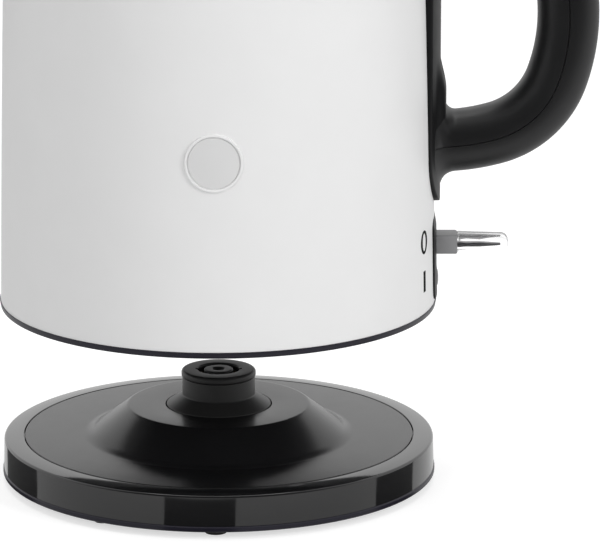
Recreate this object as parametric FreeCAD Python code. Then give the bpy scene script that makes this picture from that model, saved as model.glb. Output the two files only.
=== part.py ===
import FreeCAD, Part
import math
import os

# Cordless jug kettle, lifted off its round power base.
# Millimetres. The origin is on the kettle's upright axis at the table, +Z is up and +X points
# from the axis to the handle. Heights marked "up the kettle" are counted from the kettle's lower rim.

Vector = FreeCAD.Vector
ORIGIN = Vector(0, 0, 0)
AXIS_X = Vector(1, 0, 0)
AXIS_Y = Vector(0, 1, 0)
AXIS_Z = Vector(0, 0, 1)

# Clearances
wall_gap = 0.1           # between curved faces of pieces that are fastened together
running_gap = 0.3        # between pieces that move past each other
pin_gap = 0.05           # between a pin and its hole

# Edges
bevel_limit = 2.0        # roundings of turned pieces below this radius are plain bevels
fine_bevel = 0.4
soft_bevel = 1.0
rounding_share = 0.49    # most of a side that the rounding of one corner may take

# Screws that close the base and the kettle from below
screw_head_radius = 3.0
screw_head_height = 1.2
screw_shank_radius = 1.5
screw_length = 8.0
screw_boss_radius = 3.6
screw_boss_cap = 1.0     # boss above the end of a screw in the kettle

# Power base
base_radius = 78.0
base_height = 16.2       # table to the flat top of the ring
base_wall = 2.4
base_ring_lean = 0.3     # the ring's side draws in by this much towards its top
base_ring_inset = 0.3    # the ring stands back from the bottom plate's edge
base_edge_round = 0.8
base_plate_thickness = 2.0
base_upstand_height = 4.0
foot_height = 2.5
foot_radius = 4.5
foot_draft = 0.7
foot_inset = 9.0         # foot's middle from the plate's edge
foot_count = 4
nub_radius = 3.0         # small moulded stop under the plate
nub_height = 1.7
nub_inset = 7.0
nub_angle = -124.0
ring_top_width = 7.4     # flat top of the ring
disc_thickness = 2.2
disc_ledge = 4.0         # how far the ring reaches under the top plate
plateau_radius = 32.8
plateau_rise = 10.6      # plateau above the ring's top
plateau_round = 1.5
cone_run = 13.9          # plateau's edge to the cone's foot
cone_foot_round = 9.0
base_boss_count = 3
base_boss_angle = 30.0
cord_notch_width = 9.0
cord_notch_height = 5.5
cord_notch_round = 2.7
cord_gap_margin = 8.0    # upstand left out on each side of the outlet
cord_clamp_length = 8.0
cord_clamp_side = 3.0
cord_clamp_floor = 1.0

# Connector in the middle of the base
connector_radius = 13.1
connector_height = 12.9  # plateau to the cap's top
flare_width = 5.7        # flare's foot beyond the post
flare_height = 3.7
flare_round = 3.0
connector_flange_width = 5.2
connector_flange_thickness = 2.5
cap_lip = 0.3
cap_height = 2.4
cap_round = 0.9
cap_notch_width = 1.6
cap_notch_depth = 0.8
slot_outer_radius = 7.6
slot_width = 2.3
slot_depth = 9.0
pin_hole_radius = 2.1
contact_thickness = 0.4
contact_clearance = 0.45

# Kettle: jug wall and its lower end
lift = 48.5              # height of the lifted kettle above its seat
seat_gap = 0.3           # left between the seated kettle and the base
body_height = 165.8
body_inset = 0.15        # the jug wall's foot stands back from the base's edge
body_taper = 3.95        # how far the jug wall draws in towards the rim
body_crown = 0.33        # how far the jug wall swells past a straight taper
body_wall = 2.5
trim_ring_height = 2.2
trim_ring_proud = 0.45
trim_ring_edge = 0.15
trim_ring_lean = 0.4
trim_ring_upstand = 5.8
trim_ring_wall = 2.6
trim_ring_ledge = 2.5
cover_thickness = 2.0
cover_screw_count = 3
recess_clearance = 1.0   # over the base when the kettle is seated
recess_side_clearance = 2.3
socket_clearance = 0.9
socket_lead = 1.7        # how far the socket's mouth widens
socket_wall = 9.7
socket_flange_width = 4.0
socket_flange_height = 3.7
socket_roof = 5.8
socket_tube_wall = 0.8
contact_end_gap = 1.5    # left under the contacts when the kettle is seated

# Heater
plate_clearance = 4.0    # heating plate above the control unit
plate_thickness = 1.5
plate_grip = 2.8         # seal between the plate's edge and the jug wall
plate_edge_cover = 2.4
seal_below = 3.0
seal_above = 2.5
element_clearance = 10.0 # element outside the control unit's flange
element_width = 8.0
element_height = 6.5
element_bevel = 1.9
element_gap_angle = 60.0
steam_tube_angle = 28.0
steam_tube_clearance = 0.5
steam_tube_radius = 5.0
steam_tube_wall = 1.4
steam_tube_drop = 12.0   # tube's end below the rim

# Spout and strainer
spout_reach = 24.0       # lip beyond the rim
spout_height = 50.0      # foot of the beak below the rim
spout_top_radius = 20.0
spout_foot_radius = 5.0
spout_foot_proud = 0.6
spout_wall = 2.2
spout_band = 8.0         # rim left whole above the pouring window
strainer_thickness = 1.2
strainer_half_width = 17.0
strainer_margin = 2.0
strainer_slots = 7
strainer_slot_width = 2.4
strainer_round = 5.0

# Collar, lid, button and latch
collar_thickness = 2.5
collar_overhang = 0.3
collar_width = 11.9      # rim to bore
collar_bore_depth = 8.0
collar_wall = 2.2
collar_skirt_depth = 5.0
lid_overlap = 4.0        # lid's edge beyond the collar's bore
lid_skirt = 4.2
lid_rise = 5.0           # flat top above the lid's shoulder
lid_slope_run = 13.0     # lid's edge to its flat top
lid_wall = 2.0
lid_edge_bevel = 1.4
lid_plug_gap = 1.5
lid_plug_depth = 8.3
lid_plate_thickness = 1.5
lid_seal_width = 0.9
hinge_setback = 4.5      # hinge axis behind the lid's edge
hinge_gap = 0.5          # hinge barrel above the collar
hinge_radius = 3.8
hinge_pin_radius = 1.5
hinge_knuckle_half = 13.2
hinge_ear_width = 5.0
hinge_web = 4.6          # thickness of the web between knuckle and lid
hinge_web_root = 6.0
button_inset = 6.0       # button's edge from the edge of the lid's flat top
button_radius = 9.0
button_proud = 2.8
button_dish = 0.6
button_travel = 2.5
button_flange = 2.0
button_flange_thickness = 1.0
button_stem = 6.0
bolt_width = 12.0
bolt_height = 3.5
bolt_nose_gap = 1.0      # left between the drawn-back nose and the collar
bolt_tail = 10.0
bolt_pocket_margin = 1.0
wedge_gap = 0.5
guide_length = 24.0
guide_thickness = 1.7
guide_leg = 5.0
spring_wire = 0.8
spring_radius = 7.0

# Handle
strip_proud = 1.45       # tongue behind the handle, beyond the jug wall's foot
strip_below = 21.3       # tongue's lower end below the lower arm's middle
strip_half = 18.6
strip_crown = 48.0       # radius of the tongue's rounded face
strip_round = 17.9
pad_proud = 2.0          # raised roots of the two arms
pad_root = 3.0
pad_half = 14.0
pad_corner = 12.5
pad_outside = 14.5       # pad beyond the arm's middle, away from the loop
pad_inside = 19.0        # pad beyond the arm's middle, into the loop
pad_draft = 3.5
pad_bevel = 1.5
pad_fade = 14.0
pad_fade_round = 6.0
handle_low = 59.0        # lower arm's middle, up the kettle
handle_drop = 17.0       # upper arm's middle below the rim
handle_half_width = 11.2
handle_half_depth = 10.9
handle_round = 10.2
arm_root = 3.0           # where an arm starts to rise, inside its pad's face
arm_rise = 15.5          # degrees that an arm has risen where the bend starts
arm_flatter = 44.5       # radius of the rising arm beyond the bend's radius
grip_lean = 19.0         # degrees that the bowed grip leans at its ends
grip_flatter = 38.0      # radius of the bowed grip beyond the bend's radius
handle_screw_offset = 5.0
handle_screw_radius = 2.0
handle_screw_head = 4.0
handle_screw_reach = 12.0
window_margin = 21.0     # water gauge's end from an arm's middle
window_half = 5.5
window_lip = 2.0

# Switch
lever_height = 21.8      # lever's axis, up the kettle
lever_pivot_clearance = 3.0
lever_arm_width = 7.0
lever_arm_height = 5.0
lever_tail = 7.0
lever_collar_sunk = 2.35 # collar's inner end inside the jug wall's foot
lever_collar_length = 10.0
lever_tip_length = 18.3
lever_width = 9.6
lever_thickness = 6.9
lever_round = 1.6
lever_tip_draft = 0.5
lever_tip_round = 2.6
lever_throw = 11.0       # degrees from O to I
lever_clearance = 0.6
lever_opening_round = 1.5
pivot_pin_radius = 1.5
pivot_ear_width = 3.0
pivot_ear_length = 8.0
pivot_ear_rise = 3.5
bezel_side_margin = 2.1
bezel_head_margin = 1.15
bezel_proud = 0.7
bezel_flange = 2.0
bezel_round = 4.0
bezel_depth = 1.2        # how far the bezel reaches past the wall's inner face
lens_margin = 0.6
lens_height = 6.2
lens_half = 3.4
lens_proud = 0.5

# Badge
badge_height = 68.7      # badge's middle, up the kettle
badge_radius = 10.2
badge_stroke = 1.2
badge_proud = 0.7
badge_field = 0.35

# Radii that follow from the sizes above
ring_foot_radius = base_radius - base_ring_inset
ring_top_radius = ring_foot_radius - base_ring_lean
disc_radius = ring_top_radius - ring_top_width
ledge_radius = disc_radius - disc_ledge
base_upstand_radius = ring_top_radius - base_wall - wall_gap
cone_foot_radius = plateau_radius + cone_run
base_boss_circle = (cone_foot_radius + ledge_radius) / 2
flare_radius = connector_radius + flare_width
connector_flange_radius = flare_radius + connector_flange_width
connector_hole = flare_radius + running_gap
cap_radius = connector_radius + cap_lip
slot_inner_radius = slot_outer_radius - slot_width
ring_contact_bore = slot_outer_radius - wall_gap - contact_thickness
pin_contact_bore = pin_hole_radius - pin_gap - contact_thickness
body_bottom_radius = base_radius - body_inset
body_rim_radius = body_bottom_radius - body_taper
trim_ring_radius = body_bottom_radius + trim_ring_proud
recess_foot_radius = cone_foot_radius + recess_side_clearance
recess_head_radius = plateau_radius + recess_side_clearance
socket_radius = cap_radius + socket_clearance
socket_body_radius = socket_radius + socket_wall
socket_flange_radius = socket_body_radius + socket_flange_width
socket_tube_radius = (slot_inner_radius + ring_contact_bore + socket_tube_wall) / 2
socket_pin_radius = pin_contact_bore - contact_clearance
element_inner_radius = socket_flange_radius + element_clearance
collar_bore_radius = body_rim_radius - collar_width
lid_radius = collar_bore_radius + lid_overlap
lid_plug_radius = collar_bore_radius - lid_plug_gap
lid_flat_radius = lid_radius - lid_slope_run
hinge_x = lid_radius + hinge_setback
button_x = lid_flat_radius - button_inset - button_radius
strip_radius = body_bottom_radius + strip_proud
pad_radius = strip_radius + pad_proud
lever_pivot_x = recess_foot_radius + lever_pivot_clearance
lever_collar_start = body_bottom_radius - lever_collar_sunk
lever_collar_end = lever_collar_start + lever_collar_length
lever_tip_end = lever_collar_end + lever_tip_length

# Heights that follow from the sizes above
base_plate_top = foot_height + base_plate_thickness
base_screw_end = foot_height + screw_length
disc_level = base_height - disc_thickness
plateau_z = base_height + plateau_rise
connector_top = plateau_z + connector_height
cap_seat = connector_top - cap_height
slot_floor = connector_top - slot_depth
kettle_z = base_height + seat_gap + lift
body_z = kettle_z + trim_ring_height
rim_z = body_z + body_height
cover_top = kettle_z + cover_thickness
recess_roof = plateau_z + lift + recess_clearance
recess_cover_top = recess_roof + cover_thickness
socket_ceiling = connector_top + lift + recess_clearance
plate_z = socket_ceiling + socket_roof + plate_clearance
collar_top = rim_z + collar_thickness
lid_z = collar_top + running_gap
lid_floor = lid_z - lid_plug_depth
lid_floor_top = lid_floor + lid_plate_thickness
lid_shoulder = lid_z + lid_skirt
lid_crown = lid_shoulder + lid_rise
hinge_z = collar_top + hinge_gap + hinge_radius
button_top = lid_crown + button_proud
flange_top = lid_crown - lid_wall - running_gap
flange_low = flange_top - button_flange_thickness
stem_end = lid_floor_top + running_gap + button_travel
bolt_z = lid_floor_top + running_gap
bolt_top = bolt_z + bolt_height
guide_z = bolt_top + running_gap
guide_top = guide_z + guide_thickness
arm_low_z = kettle_z + handle_low
arm_high_z = rim_z - handle_drop
strip_z = arm_low_z - strip_below
window_low = arm_low_z + window_margin
window_high = arm_high_z - window_margin
grip_middle_z = (arm_low_z + arm_high_z) / 2
lever_z = kettle_z + lever_height

# Arcs of the handle, which run into each other and fill the height between the arms
rise = math.radians(arm_rise)
lean = math.radians(grip_lean)
bend_radius = grip_middle_z - arm_low_z - grip_flatter * math.sin(lean) - arm_flatter * (1 - math.cos(rise))
arm_radius = bend_radius + arm_flatter
grip_radius = bend_radius + grip_flatter
arm_turn = Vector(pad_radius - arm_root, 0, arm_low_z + arm_radius)
bend_turn = arm_turn + Vector(arm_flatter * math.sin(rise), 0, -arm_flatter * math.cos(rise))
grip_turn = bend_turn + Vector(-grip_flatter * math.cos(lean), 0, grip_flatter * math.sin(lean))

# The lever's opening in the bezel, and what is stacked round it
lever_drop = (body_bottom_radius + bezel_proud - lever_pivot_x) * math.tan(math.radians(lever_throw))
opening_half = lever_width / 2 + lever_clearance
opening_top = lever_z + lever_thickness / 2 + lever_clearance
opening_low = lever_z - lever_thickness / 2 - lever_clearance - lever_drop
lens_top = opening_low - lens_margin
lens_low = lens_top - lens_height
bezel_half = opening_half + bezel_side_margin + bezel_flange
bezel_top = opening_top + bezel_head_margin + bezel_flange
bezel_low = lens_low - lens_margin - bezel_flange


def flat_point(u, v):
    return Vector(u, 0, v)


def corner_arc(corners, index):
    """Start, end and centre of the arc that rounds one corner of an outline, or the corner itself."""
    here = Vector(corners[index][0], corners[index][1], 0)
    before = Vector(corners[index - 1][0], corners[index - 1][1], 0) - here
    following = corners[(index + 1) % len(corners)]
    after = Vector(following[0], following[1], 0) - here
    radius = corners[index][2] if len(corners[index]) > 2 else 0.0
    if radius == 0.0:
        return here, here, here
    half = before.getAngle(after) / 2
    reach = min(radius / math.tan(half), rounding_share * min(before.Length, after.Length))
    before.normalize()
    after.normalize()
    inward = before + after
    inward.normalize()
    return here + before * reach, here + after * reach, here + inward * (reach / math.cos(half))


def half_way(start, end, centre):
    """Middle point of an arc."""
    ray = start + end - centre * 2
    ray.normalize()
    return centre + ray * (start - centre).Length


def straight(start, end, place):
    """Edge between two points of an outline, or nothing where they are one point."""
    if (end - start).Length < 1e-6:
        return []
    return [Part.makeLine(place(start.x, start.y), place(end.x, end.y))]


def outline(corners, place=flat_point, bevel_below=0.0):
    """Closed wire through corners (u, v) or (u, v, rounding radius). Roundings under a limit are bevels."""
    arcs = [corner_arc(corners, index) for index in range(len(corners))]
    edges = []
    for index, (start, end, centre) in enumerate(arcs):
        edges += straight(arcs[index - 1][1], start, place)
        if start == end or corners[index][2] < bevel_below:
            edges += straight(start, end, place)
        else:
            points = [start, half_way(start, end, centre), end]
            edges.append(Part.Arc(*[place(point.x, point.y) for point in points]).toShape())
    return Part.Wire(edges)


def turned(corners, sweep=360):
    """Solid of revolution about the Z axis from (radius, height) corners. Its small roundings are bevels."""
    return Part.Face(outline(corners, flat_point, bevel_limit)).revolve(ORIGIN, AXIS_Z, sweep)


def plate_along_x(corners, x_from, x_to):
    """Prism from (y, z) corners."""
    face = Part.Face(outline(corners, lambda y, z: Vector(x_from, y, z)))
    return face.extrude(AXIS_X * (x_to - x_from))


def plate_along_y(corners, half):
    """Prism from (x, z) corners, as far to each side of the middle plane."""
    face = Part.Face(outline(corners, lambda x, z: Vector(x, -half, z)))
    return face.extrude(AXIS_Y * (2 * half))


def block(x_from, x_to, y_from, y_to, z_from, z_to):
    return Part.makeBox(x_to - x_from, y_to - y_from, z_to - z_from, Vector(x_from, y_from, z_from))


def rod_x(radius, x_from, x_to, y, z):
    return Part.makeCylinder(radius, x_to - x_from, Vector(x_from, y, z), AXIS_X)


def rod_y(radius, x, z, half):
    return Part.makeCylinder(radius, 2 * half, Vector(x, -half, z), AXIS_Y)


def rod_z(radius, x, y, z_from, z_to):
    return Part.makeCylinder(radius, z_to - z_from, Vector(x, y, z_from), AXIS_Z)


def tube_z(inner, outer, z_from, z_to):
    return rod_z(outer, 0, 0, z_from, z_to).cut(rod_z(inner, 0, 0, z_from, z_to))


def slope_shift(thickness, rise, run):
    """How far the corner at a slope's foot moves when a wall of this thickness is added."""
    return thickness * math.tan(math.atan2(rise, run) / 2)


def on_circle(radius, count, start=0.0):
    """Evenly spaced points around the axis."""
    angles = [math.radians(start + 360.0 * index / count) for index in range(count)]
    return [Vector(radius * math.cos(angle), radius * math.sin(angle), 0) for angle in angles]


def at(solid, place):
    return solid.translated(place)


def save(name, solids):
    shape = solids[0] if len(solids) == 1 else Part.makeCompound(solids)
    shape.exportStep("parts/" + name + ".step")


# Jug wall


def body_radius(z):
    """Outer radius of the jug wall at a height."""
    share = (z - body_z) / body_height
    taper = body_bottom_radius + (body_rim_radius - body_bottom_radius) * share
    return taper + 4 * body_crown * share * (1 - share)


def body_core(offset):
    """All that is inside the jug wall's outer face, moved out by an offset. It swells at half height."""
    heights = [body_z, body_z + body_height / 2, rim_z]
    wall = [(body_radius(z) + offset, z) for z in heights]
    return turned([(0, body_z)] + wall + [(0, rim_z)])


def wall_skin(inner, outer):
    """Thin layer that follows the jug wall between two offsets."""
    return body_core(outer).cut(body_core(inner))


def rounded_panel(half, z_from, z_to, rounding):
    """Corners (y, z) of a rounded panel seen along X."""
    lower = [(-half, z_from, rounding), (half, z_from, rounding)]
    return lower + [(half, z_to, rounding), (-half, z_to, rounding)]


def body_shell():
    shell = body_core(0).cut(body_core(-body_wall))
    shell = shell.cut(below(spout_cone(spout_wall), rim_z - spout_band))
    shell = shell.cut(bezel_slot(0.0))
    shell = shell.cut(window_panel(window_lip))
    return shell.cut(handle_screw_holes())


# Power base


def base_ring():
    under = disc_level - base_wall
    ring = turned([
        (ring_foot_radius, base_plate_top),
        (ring_top_radius, base_height, base_edge_round),
        (disc_radius + wall_gap, base_height, fine_bevel),
        (disc_radius + wall_gap, disc_level),
        (ledge_radius, disc_level),
        (ledge_radius, under),
        (ring_top_radius - base_wall, under),
        (ring_foot_radius - base_wall, base_plate_top),
    ])
    return ring.cut(cord_notch())


def cord_notch():
    """Outlet for the lead, at the back of the base."""
    half = cord_notch_width / 2
    top = base_plate_top + cord_notch_height
    sill = [(-half, base_plate_top), (half, base_plate_top)]
    arch = [(half, top, cord_notch_round), (-half, top, cord_notch_round)]
    face = Part.Face(outline(sill + arch, lambda x, z: Vector(x, disc_radius, z)))
    return face.extrude(AXIS_Y * (base_radius - disc_radius))


def base_top_plate():
    shift = slope_shift(disc_thickness, plateau_rise, cone_run)
    plate = turned([
        (disc_radius, disc_level),
        (disc_radius, base_height, fine_bevel),
        (cone_foot_radius, base_height, cone_foot_round),
        (plateau_radius, plateau_z, plateau_round),
        (connector_hole, plateau_z, fine_bevel),
        (connector_hole, plateau_z - disc_thickness),
        (plateau_radius - shift, plateau_z - disc_thickness),
        (cone_foot_radius - shift, disc_level, cone_foot_round),
    ])
    boss = rod_z(screw_boss_radius, 0, 0, base_plate_top, disc_level)
    core = rod_z(screw_shank_radius + pin_gap, 0, 0, base_plate_top, base_screw_end)
    places = base_boss_places()
    plate = plate.fuse([at(boss, place) for place in places]).removeSplitter()
    return plate.cut([at(core, place) for place in places])


def base_boss_places():
    return on_circle(base_boss_circle, base_boss_count, base_boss_angle)


def base_bottom_plate():
    plate = turned([
        (0, foot_height),
        (base_radius, foot_height, fine_bevel),
        (base_radius, base_plate_top, fine_bevel),
        (base_upstand_radius, base_plate_top),
        (base_upstand_radius, base_plate_top + base_upstand_height),
        (base_upstand_radius - base_wall / 2, base_plate_top + base_upstand_height),
        (base_upstand_radius - base_wall / 2, base_plate_top),
        (0, base_plate_top),
    ])
    nub = rod_z(nub_radius, 0, 0, foot_height - nub_height, foot_height)
    nub_place = on_circle(base_radius - nub_inset, 1, nub_angle)[0]
    plate = plate.fuse(at(nub, nub_place)).removeSplitter()
    gap = cord_notch_width / 2 + cord_gap_margin
    plate = plate.cut(block(-gap, gap, ledge_radius, base_radius, base_plate_top, base_height))
    hole = screw_from_below(foot_height, base_screw_end, pin_gap)
    return plate.cut([at(hole, place) for place in base_boss_places()])


def screw_from_below(z_from, z_to, gap):
    """Screw with its head sunk flush at the lower end, or the hole for it."""
    head_top = z_from + screw_head_height
    head = rod_z(screw_head_radius + gap, 0, 0, z_from, head_top)
    shank = rod_z(screw_shank_radius + gap, 0, 0, head_top, z_to)
    return head.fuse(shank)


def base_screws():
    screw = screw_from_below(foot_height, base_screw_end, 0.0)
    return [at(screw, place) for place in base_boss_places()]


def base_feet():
    foot = turned([
        (0, 0),
        (foot_radius - foot_draft, 0),
        (foot_radius, foot_height),
        (0, foot_height),
    ])
    return [at(foot, place) for place in on_circle(base_radius - foot_inset, foot_count)]


def cord_clamp():
    half = cord_notch_width / 2
    start = ledge_radius - cord_clamp_length
    top = disc_level - base_wall - wall_gap
    outer = half + cord_clamp_side
    saddle = block(-outer, outer, start, ledge_radius, base_plate_top, top)
    channel = half - cord_clamp_floor
    middle = Vector(0, start, base_plate_top + half)
    return saddle.cut(Part.makeCylinder(channel, cord_clamp_length, middle, AXIS_Y))


# Connector


def connector_post():
    high = plateau_z - disc_thickness - running_gap
    low = high - connector_flange_thickness
    return turned([
        (0, low),
        (connector_flange_radius, low),
        (connector_flange_radius, high),
        (flare_radius, high),
        (flare_radius, plateau_z, fine_bevel),
        (connector_radius, plateau_z + flare_height, flare_round),
        (connector_radius, cap_seat, fine_bevel),
        (slot_outer_radius, cap_seat),
        (slot_outer_radius, slot_floor),
        (slot_inner_radius, slot_floor),
        (slot_inner_radius, connector_top, fine_bevel),
        (pin_hole_radius, connector_top, fine_bevel),
        (pin_hole_radius, slot_floor),
        (0, slot_floor),
    ])


def connector_cap():
    cap = turned([
        (slot_outer_radius, cap_seat),
        (cap_radius, cap_seat, fine_bevel),
        (cap_radius, connector_top, cap_round),
        (slot_outer_radius, connector_top, fine_bevel),
    ])
    half = cap_notch_width / 2
    reach = slot_outer_radius + cap_notch_depth
    return cap.cut(block(-reach, reach, -half, half, cap_seat, connector_top))


def connector_ring_contact():
    return tube_z(ring_contact_bore, ring_contact_bore + contact_thickness, slot_floor, cap_seat)


def connector_centre_contact():
    return tube_z(pin_contact_bore, pin_contact_bore + contact_thickness, slot_floor, cap_seat)


# Kettle's lower end


def bottom_trim_ring():
    high = body_z + trim_ring_upstand
    inner = cover_radius()
    outer = inner + trim_ring_wall
    ledge_top = cover_top + trim_ring_ledge
    ring = turned([
        (trim_ring_radius - trim_ring_lean, kettle_z, fine_bevel),
        (trim_ring_radius, body_z, trim_ring_edge),
        (outer, body_z),
        (outer, high),
        (inner, high),
        (inner, ledge_top),
        (inner - trim_ring_ledge, ledge_top),
        (inner - trim_ring_ledge, cover_top),
        (inner + wall_gap, cover_top),
        (inner + wall_gap, kettle_z),
    ])
    return ring.cut(block(0, trim_ring_radius, -bezel_half, bezel_half, body_z, high))


def cover_radius():
    """Edge of the underside cover, inside the trim ring's upstand."""
    return body_radius(body_z + trim_ring_upstand) - body_wall - wall_gap - trim_ring_wall


def underside_cover():
    shift = slope_shift(cover_thickness, recess_roof - kettle_z, recess_foot_radius - recess_head_radius)
    hole = flare_radius + socket_lead
    cover = turned([
        (cover_radius(), kettle_z, fine_bevel),
        (cover_radius(), cover_top),
        (recess_foot_radius + shift, cover_top),
        (recess_head_radius + shift, recess_cover_top),
        (hole, recess_cover_top),
        (hole, recess_roof, fine_bevel),
        (recess_head_radius, recess_roof, soft_bevel),
        (recess_foot_radius, kettle_z, soft_bevel),
    ])
    cover = cover.fuse(pivot_ears() + cover_bosses()).removeSplitter()
    cover = cover.cut(rod_y(pivot_pin_radius + pin_gap, lever_pivot_x, lever_z, pivot_pin_half()))
    hole = screw_from_below(kettle_z, kettle_z + screw_length, pin_gap)
    return cover.cut([at(hole, place) for place in cover_screw_places()])


def pivot_ears():
    """Two upright ears that carry the lever's pin."""
    inner = lever_arm_width / 2 + running_gap
    outer = inner + pivot_ear_width
    half = pivot_ear_length / 2
    ears = []
    for side in (-1, 1):
        y_from = min(side * inner, side * outer)
        y_to = max(side * inner, side * outer)
        ears.append(block(lever_pivot_x - half, lever_pivot_x + half, y_from, y_to,
                          cover_top - cover_thickness / 2, lever_z + pivot_ear_rise))
    return ears


def pivot_pin_half():
    return lever_arm_width / 2 + running_gap + pivot_ear_width


def cover_bosses():
    boss = rod_z(screw_boss_radius, 0, 0, kettle_z, kettle_z + screw_length + screw_boss_cap)
    return [at(boss, place) for place in cover_screw_places()]


def cover_screw_places():
    """Half way between the docking recess and the trim ring's ledge, clear of the lever."""
    circle = (recess_foot_radius + cover_radius() - trim_ring_ledge) / 2
    return on_circle(circle, cover_screw_count, 180.0 / cover_screw_count)


def underside_screws():
    screw = screw_from_below(kettle_z, kettle_z + screw_length, 0.0)
    return [at(screw, place) for place in cover_screw_places()]


def control_unit():
    low = recess_cover_top
    top = socket_ceiling + socket_roof
    return turned([
        (socket_radius + socket_lead, low),
        (socket_flange_radius, low),
        (socket_flange_radius, low + socket_flange_height, fine_bevel),
        (socket_body_radius, low + socket_flange_height),
        (socket_body_radius, top, soft_bevel),
        (0, top),
        (0, socket_ceiling),
        (socket_radius, socket_ceiling),
        (socket_radius, low + socket_lead),
    ])


def socket_contacts():
    """Centre pin and tube that enter the connector's slots when the kettle is seated."""
    end = slot_floor + lift + contact_end_gap
    pin = rod_z(socket_pin_radius, 0, 0, end, socket_ceiling)
    tube = tube_z(socket_tube_radius - socket_tube_wall, socket_tube_radius, end, socket_ceiling)
    return [pin, tube]


# Heater


def plate_radius():
    """Heating plate's edge, inside the seal."""
    return body_radius(plate_z) - body_wall - wall_gap - plate_grip


def heating_plate():
    return rod_z(plate_radius(), 0, 0, plate_z, plate_z + plate_thickness)


def plate_seal():
    """Rubber ring that grips the plate's edge inside the jug wall."""
    high = plate_z + plate_thickness
    top = high + seal_above
    outer = body_radius(top) - body_wall - wall_gap
    groove = plate_radius() + wall_gap
    inner = plate_radius() - plate_edge_cover
    return turned([
        (outer, plate_z - seal_below),
        (outer, top, soft_bevel),
        (inner, top, soft_bevel),
        (inner, high),
        (groove, high),
        (groove, plate_z),
        (inner, plate_z),
        (inner, plate_z - seal_below),
    ])


def heating_element():
    """Heater bar under the plate, bent round with a gap at the handle's side."""
    low = plate_z - element_height
    outer = element_inner_radius + element_width
    bar = turned([
        (element_inner_radius, plate_z),
        (element_inner_radius, low, element_bevel),
        (outer, low, element_bevel),
        (outer, plate_z),
    ], 360.0 - element_gap_angle)
    return bar.rotated(ORIGIN, AXIS_Z, element_gap_angle / 2)


def steam_tube():
    circle = plate_radius() - plate_edge_cover - steam_tube_clearance - steam_tube_radius
    bore = steam_tube_radius - steam_tube_wall
    tube = tube_z(bore, steam_tube_radius, plate_z + plate_thickness, rim_z - steam_tube_drop)
    return at(tube, on_circle(circle, 1, steam_tube_angle)[0])


# Spout


def spout_cone(inset):
    """Cone of the beak, leaning out from its foot to its lip, drawn in by an inset."""
    foot_z = rim_z - spout_height
    foot = Vector(spout_foot_radius - spout_foot_proud - body_radius(foot_z), 0, foot_z)
    lip = Vector(spout_top_radius - body_rim_radius - spout_reach, 0, rim_z + spout_top_radius / 2)
    lean = lip - foot
    return Part.makeCone(spout_foot_radius - inset, spout_top_radius - inset, lean.Length, foot, lean)


def below(solid, z):
    """The part of the spout's cone under a height."""
    reach = body_bottom_radius + 2 * spout_reach
    return solid.common(block(-reach, 0, -reach, reach, kettle_z, z))


def spout():
    beak = below(spout_cone(0.0), rim_z)
    beak = beak.cut(spout_cone(spout_wall))
    return beak.cut(body_core(wall_gap))


def strainer():
    low = rim_z - spout_height + strainer_margin
    high = rim_z - spout_band - strainer_margin
    skin = wall_skin(-body_wall - wall_gap - strainer_thickness, -body_wall - wall_gap)
    reach = strip_radius
    panel = plate_along_x(rounded_panel(strainer_half_width, low, high, strainer_round), -reach, 0)
    grille = skin.common(panel)
    pitch = 2 * strainer_half_width / (strainer_slots + 1)
    half = strainer_slot_width / 2
    for index in range(strainer_slots):
        y = -strainer_half_width + pitch * (index + 1)
        slot = block(-reach, 0, y - half, y + half, low + strainer_round, high - strainer_round)
        grille = grille.cut(slot)
    return grille


# Collar and lid


def top_collar():
    bore_end = rim_z - collar_bore_depth
    skirt_outer = body_rim_radius - body_wall - wall_gap
    skirt_inner = skirt_outer - collar_wall
    collar = turned([
        (body_rim_radius + collar_overhang, rim_z, fine_bevel),
        (body_rim_radius + collar_overhang, collar_top, soft_bevel),
        (collar_bore_radius, collar_top, soft_bevel),
        (collar_bore_radius, bore_end),
        (collar_bore_radius + collar_wall, bore_end),
        (collar_bore_radius + collar_wall, rim_z),
        (skirt_inner, rim_z),
        (skirt_inner, rim_z - collar_skirt_depth),
        (skirt_outer, rim_z - collar_skirt_depth),
        (skirt_outer, rim_z),
    ])
    collar = collar.fuse(hinge_ears()).removeSplitter()
    collar = collar.cut(rod_y(hinge_pin_radius + pin_gap, hinge_x, hinge_z, hinge_span()))
    return collar.cut(latch_pocket())


def hinge_span():
    return hinge_knuckle_half + running_gap + hinge_ear_width


def hinge_ears():
    """Two ears on the collar, one each side of the lid's knuckle."""
    ears = []
    for y_from in (hinge_knuckle_half + running_gap, -hinge_span()):
        y_to = y_from + hinge_ear_width
        foot = block(hinge_x - hinge_radius, hinge_x + hinge_radius, y_from, y_to, rim_z, hinge_z)
        eye = Part.makeCylinder(hinge_radius, hinge_ear_width, Vector(hinge_x, y_from, hinge_z), AXIS_Y)
        ears.append(foot.fuse(eye))
    return ears


def latch_pocket():
    """Slot in the collar's bore that the latch's nose faces."""
    half = bolt_width / 2 + bolt_pocket_margin
    x_from = -collar_bore_radius - collar_wall
    x_to = -collar_bore_radius + bolt_pocket_margin
    return block(x_from, x_to, -half, half, bolt_z - bolt_pocket_margin, bolt_top + bolt_pocket_margin)


def lid_hinge_pin():
    return rod_y(hinge_pin_radius, hinge_x, hinge_z, hinge_span())


def lid_form(inset, bevel):
    """Round slab with the lid's flat top and sloping edge, drawn in by an inset."""
    return turned([
        (0, lid_z),
        (lid_radius - inset, lid_z),
        (lid_radius - inset, lid_shoulder - inset, bevel),
        (lid_flat_radius, lid_crown - inset, bevel),
        (0, lid_crown - inset),
    ])


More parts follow.
